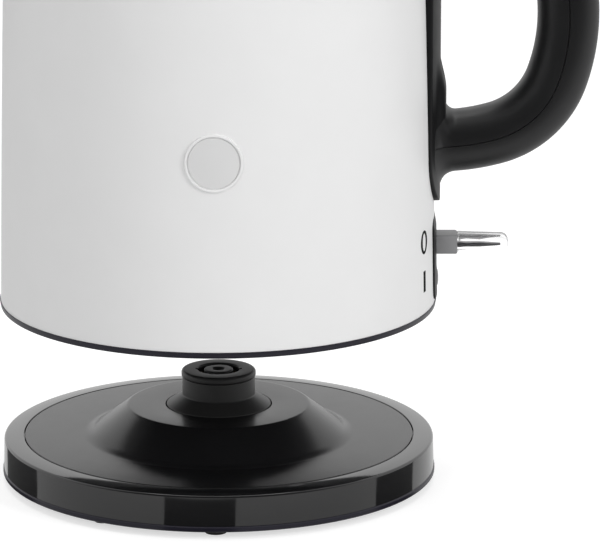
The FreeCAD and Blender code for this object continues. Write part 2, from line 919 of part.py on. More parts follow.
def lid_cover():
    cavity = lid_form(lid_wall, 0.0)
    cover = lid_form(0.0, lid_edge_bevel).cut(cavity)
    cover = cover.fuse(lid_knuckle(cavity)).removeSplitter()
    cover = cover.cut(rod_y(hinge_pin_radius + pin_gap, hinge_x, hinge_z, hinge_span()))
    return cover.cut(rod_z(button_radius + running_gap, button_x, 0, lid_z, lid_crown))


def lid_knuckle(cavity):
    """Hinge barrel between the collar's ears, with the web that joins it to the lid's edge."""
    web = block(lid_radius - hinge_web_root, hinge_x, -hinge_knuckle_half, hinge_knuckle_half,
                hinge_z - hinge_web / 2, hinge_z + hinge_web / 2)
    barrel = rod_y(hinge_radius, hinge_x, hinge_z, hinge_knuckle_half)
    return web.cut(cavity).fuse(barrel)


def lid_inner_plate():
    edge = lid_radius - lid_wall - wall_gap
    top = lid_shoulder - lid_wall - wall_gap
    inner = lid_plug_radius - lid_plate_thickness
    plate = turned([
        (0, lid_floor),
        (lid_plug_radius, lid_floor, soft_bevel),
        (lid_plug_radius, lid_z),
        (edge, lid_z),
        (edge, top),
        (inner, top),
        (inner, lid_floor_top),
        (0, lid_floor_top),
    ])
    plate = plate.fuse(latch_guide()).removeSplitter()
    half = bolt_width / 2 + running_gap
    nose_hole = block(-lid_plug_radius, lid_plate_thickness - inner, -half, half, lid_floor_top, guide_z)
    return plate.cut(nose_hole)


def latch_guide():
    """Bridge over the bolt that guides it and seats the button's spring."""
    half = bolt_width / 2 + running_gap
    outer = half + guide_leg
    x_from = button_x - guide_length / 2
    x_to = button_x + guide_length / 2
    bridge = block(x_from, x_to, -outer, outer, lid_floor_top, guide_top)
    bridge = bridge.cut(block(x_from, x_to, -half, half, lid_floor_top, guide_z))
    hole = button_stem / 2 + running_gap
    return bridge.cut(block(button_x - hole, button_x + hole, -hole, hole, guide_z, guide_top))


def lid_seal():
    """Ring under the lid's flange, down to the level of the latch guide."""
    inner = lid_plug_radius + wall_gap
    return tube_z(inner, inner + lid_seal_width, guide_z, lid_z)


def lid_button():
    """Round cap with a dished top, a flange under the lid and a stem with the wedge for the latch."""
    cap = turned([
        (0, flange_low),
        (button_radius + button_flange, flange_low),
        (button_radius + button_flange, flange_top),
        (button_radius, flange_top),
        (button_radius, button_top, soft_bevel),
        (0, button_top - button_dish),
    ])
    half = button_stem / 2
    stem = plate_along_y([
        (-half, stem_end),
        (0, stem_end),
        (half, stem_end + half),
        (half, flange_low),
        (-half, flange_low),
    ], half)
    return at(cap.fuse(stem).removeSplitter(), Vector(button_x, 0, 0))


def button_spring():
    """Sleeve the size of the coil between the latch guide and the button's flange."""
    inner = spring_radius - spring_wire / 2
    coil = tube_z(inner, inner + spring_wire, guide_top, flange_low - running_gap)
    return at(coil, Vector(button_x, 0, 0))


def latch_bolt():
    half = bolt_width / 2
    nose = -collar_bore_radius + bolt_nose_gap
    tail = button_x + bolt_tail
    ramp_foot = button_x + wedge_gap + bolt_z - stem_end
    bolt = block(nose, tail, -half, half, bolt_z, bolt_top)
    window_start = button_x - button_stem / 2 - button_travel - wedge_gap
    window = plate_along_y([
        (window_start, bolt_z),
        (ramp_foot, bolt_z),
        (ramp_foot + bolt_height, bolt_top),
        (window_start, bolt_top),
    ], button_stem / 2 + running_gap)
    return bolt.cut(window)


# Handle


def handle_backplate():
    """Tongue behind the handle, with a raised root for each arm."""
    tongue = [
        (-strip_half, strip_z, strip_round),
        (strip_half, strip_z, strip_round),
        (strip_half, rim_z),
        (-strip_half, rim_z),
    ]
    plate = strip_layer().common(plate_along_x(tongue, 0, strip_radius))
    plate = plate.fuse([arm_pad(arm_low_z, 1), arm_pad(arm_high_z, -1)]).removeSplitter()
    plate = plate.cut(window_panel(0.0))
    return plate.cut(handle_screw_holes())


def strip_layer():
    """What is between the jug wall and the tongue's rounded face."""
    crown = rod_z(strip_crown, strip_radius - strip_crown, 0, strip_z, rim_z)
    return crown.cut(body_core(wall_gap))


def arm_pad(middle, inward):
    """Raised root of an arm. It fades out towards the inside of the handle's loop."""
    core = strip_radius - pad_root
    outer_end = middle - inward * pad_outside
    inner_end = middle + inward * pad_inside
    faded = inner_end + inward * pad_fade
    ring = turned([
        (core, outer_end),
        (strip_radius, outer_end),
        (pad_radius, outer_end + inward * pad_draft, pad_bevel),
        (pad_radius, inner_end, pad_fade_round),
        (strip_radius, faded),
        (core, faded),
    ])
    low = min(outer_end, faded)
    high = max(outer_end, faded)
    pad = ring.common(plate_along_x(rounded_panel(pad_half, low, high, pad_corner), 0, pad_radius))
    return pad.cut(body_core(wall_gap))


def window_panel(inset):
    """Upright slot with round ends for the water gauge, drawn in by an inset."""
    half = window_half - inset
    return plate_along_x(rounded_panel(half, window_low + inset, window_high - inset, half), 0, pad_radius)


def gauge_window():
    return strip_layer().common(window_panel(wall_gap))


def grip_section(side, place):
    """Half of the grip's section: side +1 is the outer half and -1 the half at the fingers."""
    half = handle_half_width
    depth = handle_half_depth
    whole = outline(rounded_panel(half, -depth, depth, handle_round), place)
    half_box = outline([(-half, 0), (half, 0), (half, side * depth), (-half, side * depth)], place)
    return Part.Face(whole).common(Part.Face(half_box)).Faces[0]


def grip_arc(side, turn, radius, start, sweep):
    """Half of the grip, bent about a point from a start angle in degrees."""
    ray = Vector(math.cos(math.radians(start)), 0, math.sin(math.radians(start)))
    section = grip_section(side, lambda y, n: turn + ray * (radius + n) + AXIS_Y * y)
    return section.revolve(turn, -AXIS_Y, sweep)


def grip_half(side):
    """One half of the D-handle: rising arm, bend, bowed grip, bend, arm."""
    arm = grip_arc(side, arm_turn, arm_radius, -90, arm_rise)
    bend = grip_arc(side, bend_turn, bend_radius, arm_rise - 90, 90 - arm_rise - grip_lean)
    grip = grip_arc(side, grip_turn, grip_radius, -grip_lean, 2 * grip_lean)
    upper = [piece.mirror(grip_turn, AXIS_Z) for piece in (arm, bend)]
    loop = grip.fuse([arm, bend] + upper).removeSplitter()
    return loop.cut(rod_z(pad_radius + wall_gap, 0, 0, kettle_z, collar_top))


def handle_inner_shell():
    return grip_half(-1)


def handle_outer_shell():
    return grip_half(1).cut(handle_screw_holes())


def handle_screw_levels():
    return [arm_low_z - handle_screw_offset, arm_high_z + handle_screw_offset]


def handle_screw(z):
    """Screw from inside the jug into an arm."""
    head_x = screw_seat_x(z)
    shank = rod_x(handle_screw_radius, head_x, pad_radius + handle_screw_reach, 0, z)
    head = rod_x(handle_screw_head, head_x - screw_head_height, head_x, 0, z)
    return head.fuse(shank).removeSplitter()


def screw_seat_x(z):
    """Where a handle screw's flat head meets the inside of the curved jug wall."""
    inside = body_radius(z) - body_wall - wall_gap
    return math.sqrt(inside ** 2 - handle_screw_head ** 2)


def handle_screws():
    return [handle_screw(z) for z in handle_screw_levels()]


def handle_screw_holes():
    end = pad_radius + handle_screw_reach
    holes = [rod_x(handle_screw_radius + pin_gap, screw_seat_x(z), end, 0, z) for z in handle_screw_levels()]
    return holes[0].fuse(holes[1])


# Switch


def bezel_slot(gap):
    """Cut through the jug wall that the bezel's frame fills."""
    inset = bezel_flange + gap
    rounding = bezel_round - bezel_flange
    corners = rounded_panel(bezel_half - inset, bezel_low + inset, bezel_top - inset, rounding)
    return plate_along_x(corners, 0, strip_radius)


def lever_opening():
    """Space that the lever sweeps through in the bezel."""
    corners = rounded_panel(opening_half, opening_low, opening_top, lever_opening_round)
    return plate_along_x(corners, lever_pivot_x, strip_radius)


def lens_panel(gap):
    corners = rounded_panel(lens_half + gap, lens_low - gap, lens_top + gap, lens_half)
    return plate_along_x(corners, 0, strip_radius)


def switch_bezel():
    inner = -body_wall - bezel_depth
    frame = wall_skin(inner, bezel_proud).common(bezel_slot(wall_gap))
    face = rounded_panel(bezel_half, bezel_low, bezel_top, bezel_round)
    flange = wall_skin(wall_gap, bezel_proud).common(plate_along_x(face, 0, strip_radius))
    bezel = frame.fuse(flange).removeSplitter()
    bezel = bezel.cut(lever_opening())
    return bezel.cut(lens_panel(wall_gap))


def indicator_lens():
    return wall_skin(-body_wall - bezel_depth, bezel_proud + lens_proud).common(lens_panel(0.0))


def switch_lever():
    """Flat arm from the pivot to the collar outside the wall."""
    half = lever_arm_height / 2
    start = lever_pivot_x - lever_tail
    arm = plate_along_y([
        (start, lever_z - half, soft_bevel),
        (lever_collar_start, lever_z - half),
        (lever_collar_start, lever_z + half),
        (start, lever_z + half, soft_bevel),
    ], lever_arm_width / 2)
    return arm.cut(rod_y(pivot_pin_radius + pin_gap, lever_pivot_x, lever_z, pivot_pin_half()))


def lever_collar():
    thick = lever_thickness / 2
    corners = rounded_panel(lever_width / 2, lever_z - thick, lever_z + thick, lever_round)
    return plate_along_x(corners, lever_collar_start, lever_collar_end)


def lever_tip():
    """Tapered tip with a rounded end, cut to its outline from above and from the side."""
    half = lever_width / 2
    thick = lever_thickness / 2
    end_half = half - lever_tip_draft
    end_thick = thick - lever_tip_draft
    side = plate_along_y([
        (lever_collar_end, lever_z - thick),
        (lever_tip_end, lever_z - end_thick, lever_tip_round),
        (lever_tip_end, lever_z + end_thick, lever_tip_round),
        (lever_collar_end, lever_z + thick),
    ], half)
    plan = outline([
        (lever_collar_end, -half),
        (lever_tip_end, -end_half, lever_tip_round),
        (lever_tip_end, end_half, lever_tip_round),
        (lever_collar_end, half),
    ], lambda x, y: Vector(x, y, lever_z - thick))
    return side.common(Part.Face(plan).extrude(AXIS_Z * lever_thickness))


def switch_pivot_pin():
    return rod_y(pivot_pin_radius, lever_pivot_x, lever_z, pivot_pin_half())


# Badge


def front_badge():
    """Plain raised ring with a lower field, on the front of the jug."""
    middle = Vector(0, 0, kettle_z + badge_height)
    disc = Part.makeCylinder(badge_radius, trim_ring_radius, middle, -AXIS_Y)
    field = Part.makeCylinder(badge_radius - badge_stroke, trim_ring_radius, middle, -AXIS_Y)
    badge = wall_skin(wall_gap, badge_proud).common(disc)
    return badge.cut(wall_skin(badge_field, 2 * badge_proud).common(field))


single_pieces = [
    base_ring, base_top_plate, base_bottom_plate, cord_clamp,
    connector_post, connector_cap, connector_ring_contact, connector_centre_contact,
    body_shell, bottom_trim_ring, underside_cover, control_unit,
    heating_plate, heating_element, plate_seal, steam_tube,
    spout, strainer, top_collar, lid_hinge_pin,
    handle_backplate, handle_inner_shell, handle_outer_shell, gauge_window,
    switch_bezel, indicator_lens, switch_pivot_pin, front_badge,
    lid_cover, lid_inner_plate, lid_seal, lid_button, button_spring, latch_bolt,
    switch_lever, lever_collar, lever_tip,
]
piece_groups = [base_feet, base_screws, underside_screws, socket_contacts, handle_screws]

os.makedirs("parts", exist_ok=True)
for piece in single_pieces:
    save(piece.__name__, [piece()])
for group in piece_groups:
    save(group.__name__, group())
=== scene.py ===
import math

import bmesh
import bpy
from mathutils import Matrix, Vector


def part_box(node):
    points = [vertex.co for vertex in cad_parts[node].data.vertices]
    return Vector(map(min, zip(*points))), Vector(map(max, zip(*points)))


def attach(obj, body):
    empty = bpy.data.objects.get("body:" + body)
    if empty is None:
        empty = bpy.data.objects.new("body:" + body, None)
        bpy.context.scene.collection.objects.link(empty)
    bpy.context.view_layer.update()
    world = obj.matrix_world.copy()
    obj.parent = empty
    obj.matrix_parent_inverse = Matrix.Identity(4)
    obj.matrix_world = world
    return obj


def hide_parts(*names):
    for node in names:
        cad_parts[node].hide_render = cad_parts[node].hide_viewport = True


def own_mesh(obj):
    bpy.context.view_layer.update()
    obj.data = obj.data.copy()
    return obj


# Looks of a cordless jug kettle that is lifted above its round power base.
# Lengths are written in millimetres and turned into metres when a mesh is made.

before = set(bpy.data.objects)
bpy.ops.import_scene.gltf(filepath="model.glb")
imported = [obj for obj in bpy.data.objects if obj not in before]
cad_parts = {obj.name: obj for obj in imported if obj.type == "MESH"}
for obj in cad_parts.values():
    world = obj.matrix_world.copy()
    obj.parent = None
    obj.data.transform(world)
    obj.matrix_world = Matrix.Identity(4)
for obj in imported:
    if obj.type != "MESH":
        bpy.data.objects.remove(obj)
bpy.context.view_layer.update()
MM = 0.001
TURN = 2 * math.pi


def low(node, axis):
    """Lowest place of a CAD node along an axis (0 to 2), in millimetres."""
    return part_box(node)[0][axis] / MM


def high(node, axis):
    """Highest place of a CAD node along an axis."""
    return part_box(node)[1][axis] / MM


# Places that the frame gives
base_radius = high("base_bottom_plate", 0)
plate_top = low("base_ring", 2)
ring_foot_radius = high("base_ring", 0)
base_top = high("base_ring", 2)
disc_radius = high("base_top_plate", 0)
plateau_z = high("base_top_plate", 2)
connector_top = high("connector_cap", 2)
cap_seat = low("connector_cap", 2)
cap_radius = high("connector_cap", 0)
flange_radius = high("connector_post", 0)
flange_z = low("connector_post", 2)
slot_floor = low("connector_ring_contact", 2)
slot_radius = high("connector_ring_contact", 0)
kettle_z = low("bottom_trim_ring", 2)
trim_radius = high("bottom_trim_ring", 0)
body_z = low("body_shell", 2)
body_radius_low = high("body_shell", 1)
rim_z = high("body_shell", 2)
collar_radius = high("top_collar", 1)
strip_z = low("handle_backplate", 2)
strip_radius = high("gauge_window", 0)
window_low = low("gauge_window", 2)
window_high = high("gauge_window", 2)
window_half = high("gauge_window", 1)
handle_half = high("handle_inner_shell", 1)
bezel_low = low("switch_bezel", 2)
bezel_high = high("switch_bezel", 2)
lens_low = low("indicator_lens", 2)
lens_high = high("indicator_lens", 2)
lens_half = high("indicator_lens", 1)
lever_low = low("lever_collar", 2)
lever_high = high("lever_collar", 2)
lever_half = high("lever_collar", 1)
lever_start = low("lever_collar", 0)
collar_end = high("lever_collar", 0)
lever_end = high("lever_tip", 0)
badge_low = low("front_badge", 2)
badge_high = high("front_badge", 2)
button_x = (low("lid_button", 0) + high("lid_button", 0)) / 2

# Sizes of the finish that the frame doesn't give. An edge is the rounding of a corner.

# Base and connector
ring_lean = 0.3
ring_fall = 0.6          # outer edge of the ring's top below its inner edge
ring_wall = 2.4
ring_ledge = 4.0         # width of the step that carries the disc
ring_edge = 0.9
ring_foot_edge = 0.2
ring_inner_edge = 0.35
groove = 0.35            # open line between ring and disc
outlet_half = 4.5        # notch for a cord in the ring's foot
outlet_height = 5.5
outlet_round = 2.7
disc_thickness = 2.2
disc_edge = 0.45
cone_foot_radius = 46.7
cone_foot_round = 7.0
cone_shift = 0.8         # inset of the disc's lower face on the cone
plateau_radius = 32.8
plateau_round = 2.0
plateau_edge = 0.3
flange_height = 2.5
flare_radius = 18.8
flare_height = 3.7
flare_edge = 0.5
post_radius = 13.1
post_foot_round = 0.7
post_edge = 0.35
post_line = 0.15         # open line between the post and the plateau or the cap
slot_inner_radius = 5.3
slot_inner_edge = 0.6
pin_hole_radius = 2.1
pin_hole_edge = 0.4
cap_edge = 1.1
cap_foot_edge = 0.4
cap_inner_edge = 0.5
key_half = 0.8           # key slots in the cap's bore
key_depth = 0.9

# Jug
collar_overhang = 0.3
body_crown = 0.33        # how far the jug wall swells past a straight taper
body_wall = 2.5
opening_inset = 2.0      # openings in the wall inside the edge of what covers them
switch_hole_margin = 3.0
switch_hole_round = 2.0
pour_low = 46.0          # ends of the pouring window below the rim
pour_high = 8.0
pour_low_half = 3.0
pour_high_half = 12.0
pour_round = 2.0
trim_lean = 0.4
trim_wall = 2.5
trim_upstand = 5.8
trim_fit = 0.1
trim_fit_height = 6.0    # height over the wall's foot at which the upstand fits into it
trim_foot_edge = 0.5
trim_top_edge = 0.2
trim_inner_edge = 0.3
badge_stroke = 1.0
badge_line = 0.3         # open line between the badge's ring and its field
badge_field = 0.3
badge_field_edge = 0.15
badge_rise = 0.7
badge_sunk = 0.2
badge_lean = 0.1
badge_inner_edge = 0.2
badge_outer_edge = 0.25

# Tongue and handle
strip_half = 18.6
strip_crown = 48.0       # radius of the tongue's rounded face
strip_round = 17.9
strip_edge = 0.9
strip_tip = 0.02         # lowest row of points above the tongue's end, where it has a width
strip_gap = 0.05         # tongue's back over the wall, and its least thickness
pad_rise = 2.0
pad_radius = strip_radius + pad_rise
pad_half = 14.0
pad_blend = 5.0
pad_inside = 19.0
pad_fade = 14.0
handle_depth = 10.9
handle_round = 10.2
arm_low_z = low("handle_outer_shell", 2) + handle_depth
arm_high_z = high("handle_outer_shell", 2) - handle_depth
arm_sunk = 1.0
arm_start = strip_radius - arm_sunk
arm_rise = math.radians(15.5)
arm_flatter = 44.5       # radius of the rising arm beyond the bend's radius
grip_lean = math.radians(19.0)
grip_flatter = 38.0      # radius of the bowed grip beyond the bend's radius
root_fillet = 4.5
seam = 0.07              # half of the open line between the handle's halves
seam_edge = 0.22
opening_fit = 0.1        # room around the gauge window and the lens

# Switch
bezel_half = 13.0
bezel_proud = 0.7
bezel_behind = 1.2       # depth behind the wall
bezel_round = 4.0
bezel_hood = 3.6         # sloped end above the lever
bezel_edge = 0.6
bezel_least = 0.12       # height of the surround's edge over the wall
lever_drop = 5.2
lever_clearance = 0.6
lever_slot_round = 1.5
collar_round = 0.9
tip_neck = 0.3           # ends of the tip's root and of its neck, from the collar
tip_begin = 0.8
tip_root_inset = 0.35
tip_root_round = 1.6
tip_inset = 0.1
tip_taper = 0.4
tip_round = 1.7
tip_end_round = 2.8
tip_end_fade = 1.2       # how much of the section's rounding is lost over the rounded end
tip_end_flat = 0.02      # share of the end that stays flat
core_drop = 0.4          # grey blade, a painted refraction of the collar's end, below the tip's middle
core_round = 0.6         # rounding as a share of the blade's half thickness

# Indicator lens: share of the outline, height over the wall
lens_dome = ((1.0, -3.0), (1.0, 0.45), (0.93, 0.8), (0.75, 1.05), (0.4, 1.18), (0.1, 1.2))
# Ends of the lever's collar: distance from the end, inset of the section
collar_start_edge = ((0.0, 0.4), (0.4, 0.0))
collar_end_edge = ((0.5, 0.0), (0.15, 0.12), (0.0, 0.4))
# Grey blade inside the clear tip, a painted refraction of the collar's end: distance from the collar, half
# width, half thickness
core_stations = ((0.4, 2.2, 0.95), (3.0, 2.1, 0.7), (8.0, 1.9, 0.75), (13.0, 1.5, 0.45), (15.4, 1.2, 0.3))

# Signs at the switch and spring of the button
mark_angle = math.radians(-19.2)
mark_proud = 0.04
mark_sunk = 0.1
off_mark_rise = 28.05    # middles of the signs, up the kettle
on_mark_rise = 13.8
off_mark_z = kettle_z + off_mark_rise
on_mark_z = kettle_z + on_mark_rise
off_mark_half = 3.5      # the O is a little taller than wide, with heavier sides
off_mark_tall = 4.25
off_mark_side = 1.8
off_mark_stroke = 1.05
on_mark_height = 7.6
on_mark_stroke = 2.3
on_mark_edge = 0.2
coil_wire = 0.8
coil_turns = 3.5

# Fineness of the meshes and reach of the cutters
wide_segments = 320
disc_segments = 256
disc_round_steps = 10
lens_round_steps = 10
badge_round_steps = 5
small_round_steps = 4
narrow_segments = 128
sharp_edge = math.radians(35.0)
same_point = 0.001       # points closer than this are one
shortest_edge = 0.0005
longest_rounding = 0.49  # share of a side that one rounding may take
cut_from = 60.0          # through the wall or the ring, measured from the axis
cut_to = 90.0
cut_past = 1.0           # past the face that is cut


# Mesh tools


def make_piece(name, vertices, faces, body, node_names, slot, material):
    """Mesh object in the row frame that rides on a body and stands for CAD nodes."""
    mesh = bpy.data.meshes.new(name)
    mesh.from_pydata([Vector(v) * MM for v in vertices], [], faces)
    piece = bpy.data.objects.new(name, mesh)
    bpy.context.scene.collection.objects.link(piece)
    clean(piece)
    piece.data.materials.append(material)
    smooth(piece)
    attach(piece, body)
    if node_names:
        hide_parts(*node_names)
    return piece


def clean(piece):
    """Merges doubled points and turns every face outward."""
    mesh = bmesh.new()
    mesh.from_mesh(piece.data)
    bmesh.ops.remove_doubles(mesh, verts=mesh.verts, dist=same_point * MM)
    bmesh.ops.dissolve_degenerate(mesh, edges=mesh.edges, dist=shortest_edge * MM)
    bmesh.ops.recalc_face_normals(mesh, faces=mesh.faces)
    mesh.to_mesh(piece.data)
    mesh.free()


def smooth(piece):
    piece.data.shade_smooth()
    piece.data.set_sharp_from_angle(angle=sharp_edge)


def carve(piece, cutter):
    """Cuts a closed mesh out of a piece and deletes the cutter."""
    modifier = piece.modifiers.new("cut", "BOOLEAN")
    modifier.operation = "DIFFERENCE"
    modifier.solver = "EXACT"
    modifier.object = cutter
    result = piece.evaluated_get(bpy.context.evaluated_depsgraph_get())
    mesh = bpy.data.meshes.new_from_object(result)
    piece.modifiers.clear()
    piece.data = mesh
    bpy.data.objects.remove(cutter)
    smooth(piece)


def make_cutter(vertices, faces):
    mesh = bpy.data.meshes.new("cutter")
    mesh.from_pydata([Vector(v) * MM for v in vertices], [], faces)
    cutter = bpy.data.objects.new("cutter", mesh)
    bpy.context.scene.collection.objects.link(cutter)
    clean(cutter)
    return cutter


def rounded(corners, steps=8):
    """Points of a closed outline through corners (u, v) or (u, v, rounding)."""
    points = []
    for index, corner in enumerate(corners):
        here = Vector(corner[:2])
        radius = corner[2] if len(corner) > 2 else 0.0
        if radius == 0.0:
            points.append(here)
            continue
        before = Vector(corners[index - 1][:2]) - here
        after = Vector(corners[(index + 1) % len(corners)][:2]) - here
        half = before.angle(after) / 2
        reach = min(radius / math.tan(half), longest_rounding * min(before.length, after.length))
        middle = here + (before.normalized() + after.normalized()).normalized() * (reach / math.cos(half))
        start = here + before.normalized() * reach - middle
        end = here + after.normalized() * reach - middle
        sweep = math.pi - 2 * half
        for step in range(steps + 1):
            share = step / steps
            blend = start * math.sin((1 - share) * sweep) + end * math.sin(share * sweep)
            points.append(middle + blend / math.sin(sweep))
    return points


def skin(rings, closed=True):
    """Vertices and faces of a surface through rings of points. The ends are closed by a face each."""
    count = len(rings[0])
    vertices = [point for ring in rings for point in ring]
    faces = []
    last = len(rings) if closed else len(rings) - 1
    for row in range(last):
        following = (row + 1) % len(rings)
        for column in range(count):
            right = (column + 1) % count
            faces.append((row * count + column, row * count + right,
                          following * count + right, following * count + column))
    if not closed:
        faces.append(tuple(range(count)))
        faces.append(tuple((len(rings) - 1) * count + column for column in range(count)))
    return vertices, faces


def turned(corners, segments, steps=8):
    """Vertices and faces of a closed outline turned about the upright axis."""
    outline = rounded(corners, steps)
    rings = []
    for index in range(segments):
        angle = TURN * index / segments
        rings.append([(p.x * math.cos(angle), p.x * math.sin(angle), p.y) for p in outline])
    return skin(rings)


def prism_x(corners, x_from=cut_from, x_to=cut_to):
    """Prism from (y, z) corners, by default one that cuts through the wall behind the handle."""
    outline = rounded(corners)
    return skin([[(x, p.x, p.y) for p in outline] for x in (x_from, x_to)], closed=False)


def panel(half, z_from, z_to, rounding):
    """Corners of an upright rectangle about the middle line."""
    lower = [(-half, z_from, rounding), (half, z_from, rounding)]
    return lower + [(half, z_to, rounding), (-half, z_to, rounding)]


def body_radius(z):
    """Outer radius of the jug wall at a height."""
    share = (z - body_z) / (rim_z - body_z)
    rim_radius = collar_radius - collar_overhang
    return body_radius_low + (rim_radius - body_radius_low) * share + 4 * body_crown * share * (1 - share)


# Materials

# Noises: scales are features to a metre, changes are shares of the value that a noise moves
noise_low = 0.3          # range in which most values of a noise lie
noise_high = 0.7
soft_detail = 2.0
plain_detail = 4.0
fine_detail = 6.0
plastic_cloud = 55.0
plastic_gloss = 160.0
plastic_gloss_change = 0.04
coat_roughness = 0.06
metal_cloud = 90.0
metal_dark = 0.88
metal_gloss_change = 0.2
metal_grain_depth = 0.00002
clear_index = 1.49
clear_cloud = 120.0
clear_dark = 0.93
clear_gloss = 300.0
clear_gloss_change = 0.3
clear_flow = 250.0
clear_flow_depth = 0.00001


def node_material(name):
    material = bpy.data.materials.new(name)
    material.use_nodes = True
    tree = material.node_tree
    shader = tree.nodes["Principled BSDF"]
    return material, tree, shader


def noise(tree, scale, detail=plain_detail):
    """Noise that is fixed to the object, with features about 1/scale metres wide."""
    place = tree.nodes.new("ShaderNodeTexCoord")
    texture = tree.nodes.new("ShaderNodeTexNoise")
    texture.inputs["Scale"].default_value = scale
    texture.inputs["Detail"].default_value = detail
    tree.links.new(place.outputs["Object"], texture.inputs["Vector"])
    return texture.outputs["Fac"]


def varied(tree, scale, middle, change):
    """Noise about a middle value, up and down by a share of it."""
    node = tree.nodes.new("ShaderNodeMapRange")
    node.inputs["From Min"].default_value = noise_low
    node.inputs["From Max"].default_value = noise_high
    node.inputs["To Min"].default_value = middle * (1 - change)
    node.inputs["To Max"].default_value = middle * (1 + change)
    tree.links.new(noise(tree, scale), node.inputs["Value"])
    return node.outputs["Result"]


def shades(tree, scale, dark, light):
    """Clouds between two colours."""
    node = tree.nodes.new("ShaderNodeValToRGB")
    node.color_ramp.elements[0].position = noise_low
    node.color_ramp.elements[1].position = noise_high
    node.color_ramp.elements[0].color = (*dark, 1)
    node.color_ramp.elements[1].color = (*light, 1)
    tree.links.new(noise(tree, scale), node.inputs["Fac"])
    return node.outputs["Color"]


def bumped(tree, shader, height, distance):
    node = tree.nodes.new("ShaderNodeBump")
    node.inputs["Distance"].default_value = distance
    tree.links.new(height, node.inputs["Height"])
    tree.links.new(node.outputs["Normal"], shader.inputs["Normal"])


def moulded(name, colour, change, roughness, grain_scale, grain_depth, coat=0.0, shine=0.5):
    """Moulded plastic: slight cloudiness in colour and gloss, and a fine grain from the mould."""
    material, tree, shader = node_material(name)
    dark = tuple(c * (1 - change) for c in colour)
    light = tuple(c * (1 + change) for c in colour)
    tree.links.new(shades(tree, plastic_cloud, dark, light), shader.inputs["Base Color"])
    gloss = varied(tree, plastic_gloss, roughness, plastic_gloss_change)
    tree.links.new(gloss, shader.inputs["Roughness"])
    bumped(tree, shader, noise(tree, grain_scale, soft_detail), grain_depth)
    shader.inputs["Specular IOR Level"].default_value = shine
    shader.inputs["Coat Weight"].default_value = coat
    shader.inputs["Coat Roughness"].default_value = coat_roughness
    return material


def metal(name, colour, roughness, brushed):
    """Metal with fine brushing or casting grain."""
    material, tree, shader = node_material(name)
    shader.inputs["Metallic"].default_value = 1.0
    dark = tuple(c * metal_dark for c in colour)
    tree.links.new(shades(tree, metal_cloud, dark, colour), shader.inputs["Base Color"])
    gloss = varied(tree, brushed, roughness, metal_gloss_change)
    tree.links.new(gloss, shader.inputs["Roughness"])
    bumped(tree, shader, noise(tree, brushed, fine_detail), metal_grain_depth)
    return material


def clear(name, colour, roughness):
    """Clear plastic with faint flow marks."""
    material, tree, shader = node_material(name)
    shader.inputs["Transmission Weight"].default_value = 1.0
    shader.inputs["IOR"].default_value = clear_index
    dark = tuple(c * clear_dark for c in colour)
    tree.links.new(shades(tree, clear_cloud, dark, colour), shader.inputs["Base Color"])
    gloss = varied(tree, clear_gloss, roughness, clear_gloss_change)
    tree.links.new(gloss, shader.inputs["Roughness"])
    bumped(tree, shader, noise(tree, clear_flow, soft_detail), clear_flow_depth)
    return material


# Moulded: name, colour, change of the colour, roughness, grain's scale and its depth in metres, coat, shine
white = moulded("white_satin", (0.80, 0.80, 0.80), 0.008, 0.38, 2600.0, 0.000004, shine=0.2)
# Badge field: the wall's white made darker as painted shade of the recessed field; the badge is the same
# plastic as the wall
badge_shaded_white = moulded("badge_shaded_white", (0.69, 0.69, 0.69), 0.01, 0.36, 2600.0, 0.000004, shine=0.2)
trim_black = moulded("trim_black", (0.011, 0.010, 0.018), 0.12, 0.34, 3200.0, 0.000005, shine=0.3)
satin_black = moulded("satin_black", (0.006, 0.006, 0.0065), 0.12, 0.42, 3400.0, 0.000005)
gloss_black = moulded("gloss_black", (0.004, 0.004, 0.0045), 0.15, 0.09, 900.0, 0.0000006, 0.4)
disc_black = moulded("disc_black", (0.006, 0.006, 0.0065), 0.10, 0.26, 3800.0, 0.000002)
connector_black = moulded("connector_black", (0.018, 0.018, 0.018), 0.12, 0.42, 3200.0, 0.000004)
inner_grey = moulded("inner_grey", (0.045, 0.045, 0.048), 0.10, 0.5, 2800.0, 0.000006)
grey_matt = moulded("grey_matt", (0.26, 0.26, 0.265), 0.05, 0.5, 2600.0, 0.000006)
button_grey = moulded("button_grey", (0.20, 0.20, 0.205), 0.05, 0.3, 2600.0, 0.000003)
lens_grey = moulded("lens_grey", (0.16, 0.16, 0.165), 0.05, 0.18, 800.0, 0.000001, 0.5)
tongue_black = moulded("tongue_black", (0.007, 0.007, 0.0075), 0.12, 0.46, 3400.0, 0.000005, shine=0.22)
mark_black = moulded("mark_black", (0.006, 0.006, 0.006), 0.1, 0.6, 3000.0, 0.000002, shine=0.03)
rubber = moulded("rubber", (0.014, 0.014, 0.014), 0.15, 0.75, 2200.0, 0.00001)
# Grey of the blade inside the clear tip: painted refraction of the collar's end
painted_refraction_grey = moulded("painted_refraction_grey", (0.10, 0.10, 0.105), 0.45, 0.3, 700.0, 0.00003)

# Metal: name, colour, roughness, scale of the brushing. Clear: name, colour, roughness
steel = metal("steel", (0.56, 0.56, 0.57), 0.32, 900.0)
cast_metal = metal("cast_metal", (0.48, 0.48, 0.48), 0.5, 500.0)
contact = metal("contact", (0.62, 0.48, 0.26), 0.25, 800.0)
gauge_clear = clear("gauge_clear", (0.30, 0.31, 0.33), 0.05)
tip_clear = clear("tip_clear", (0.95, 0.95, 0.955), 0.02)

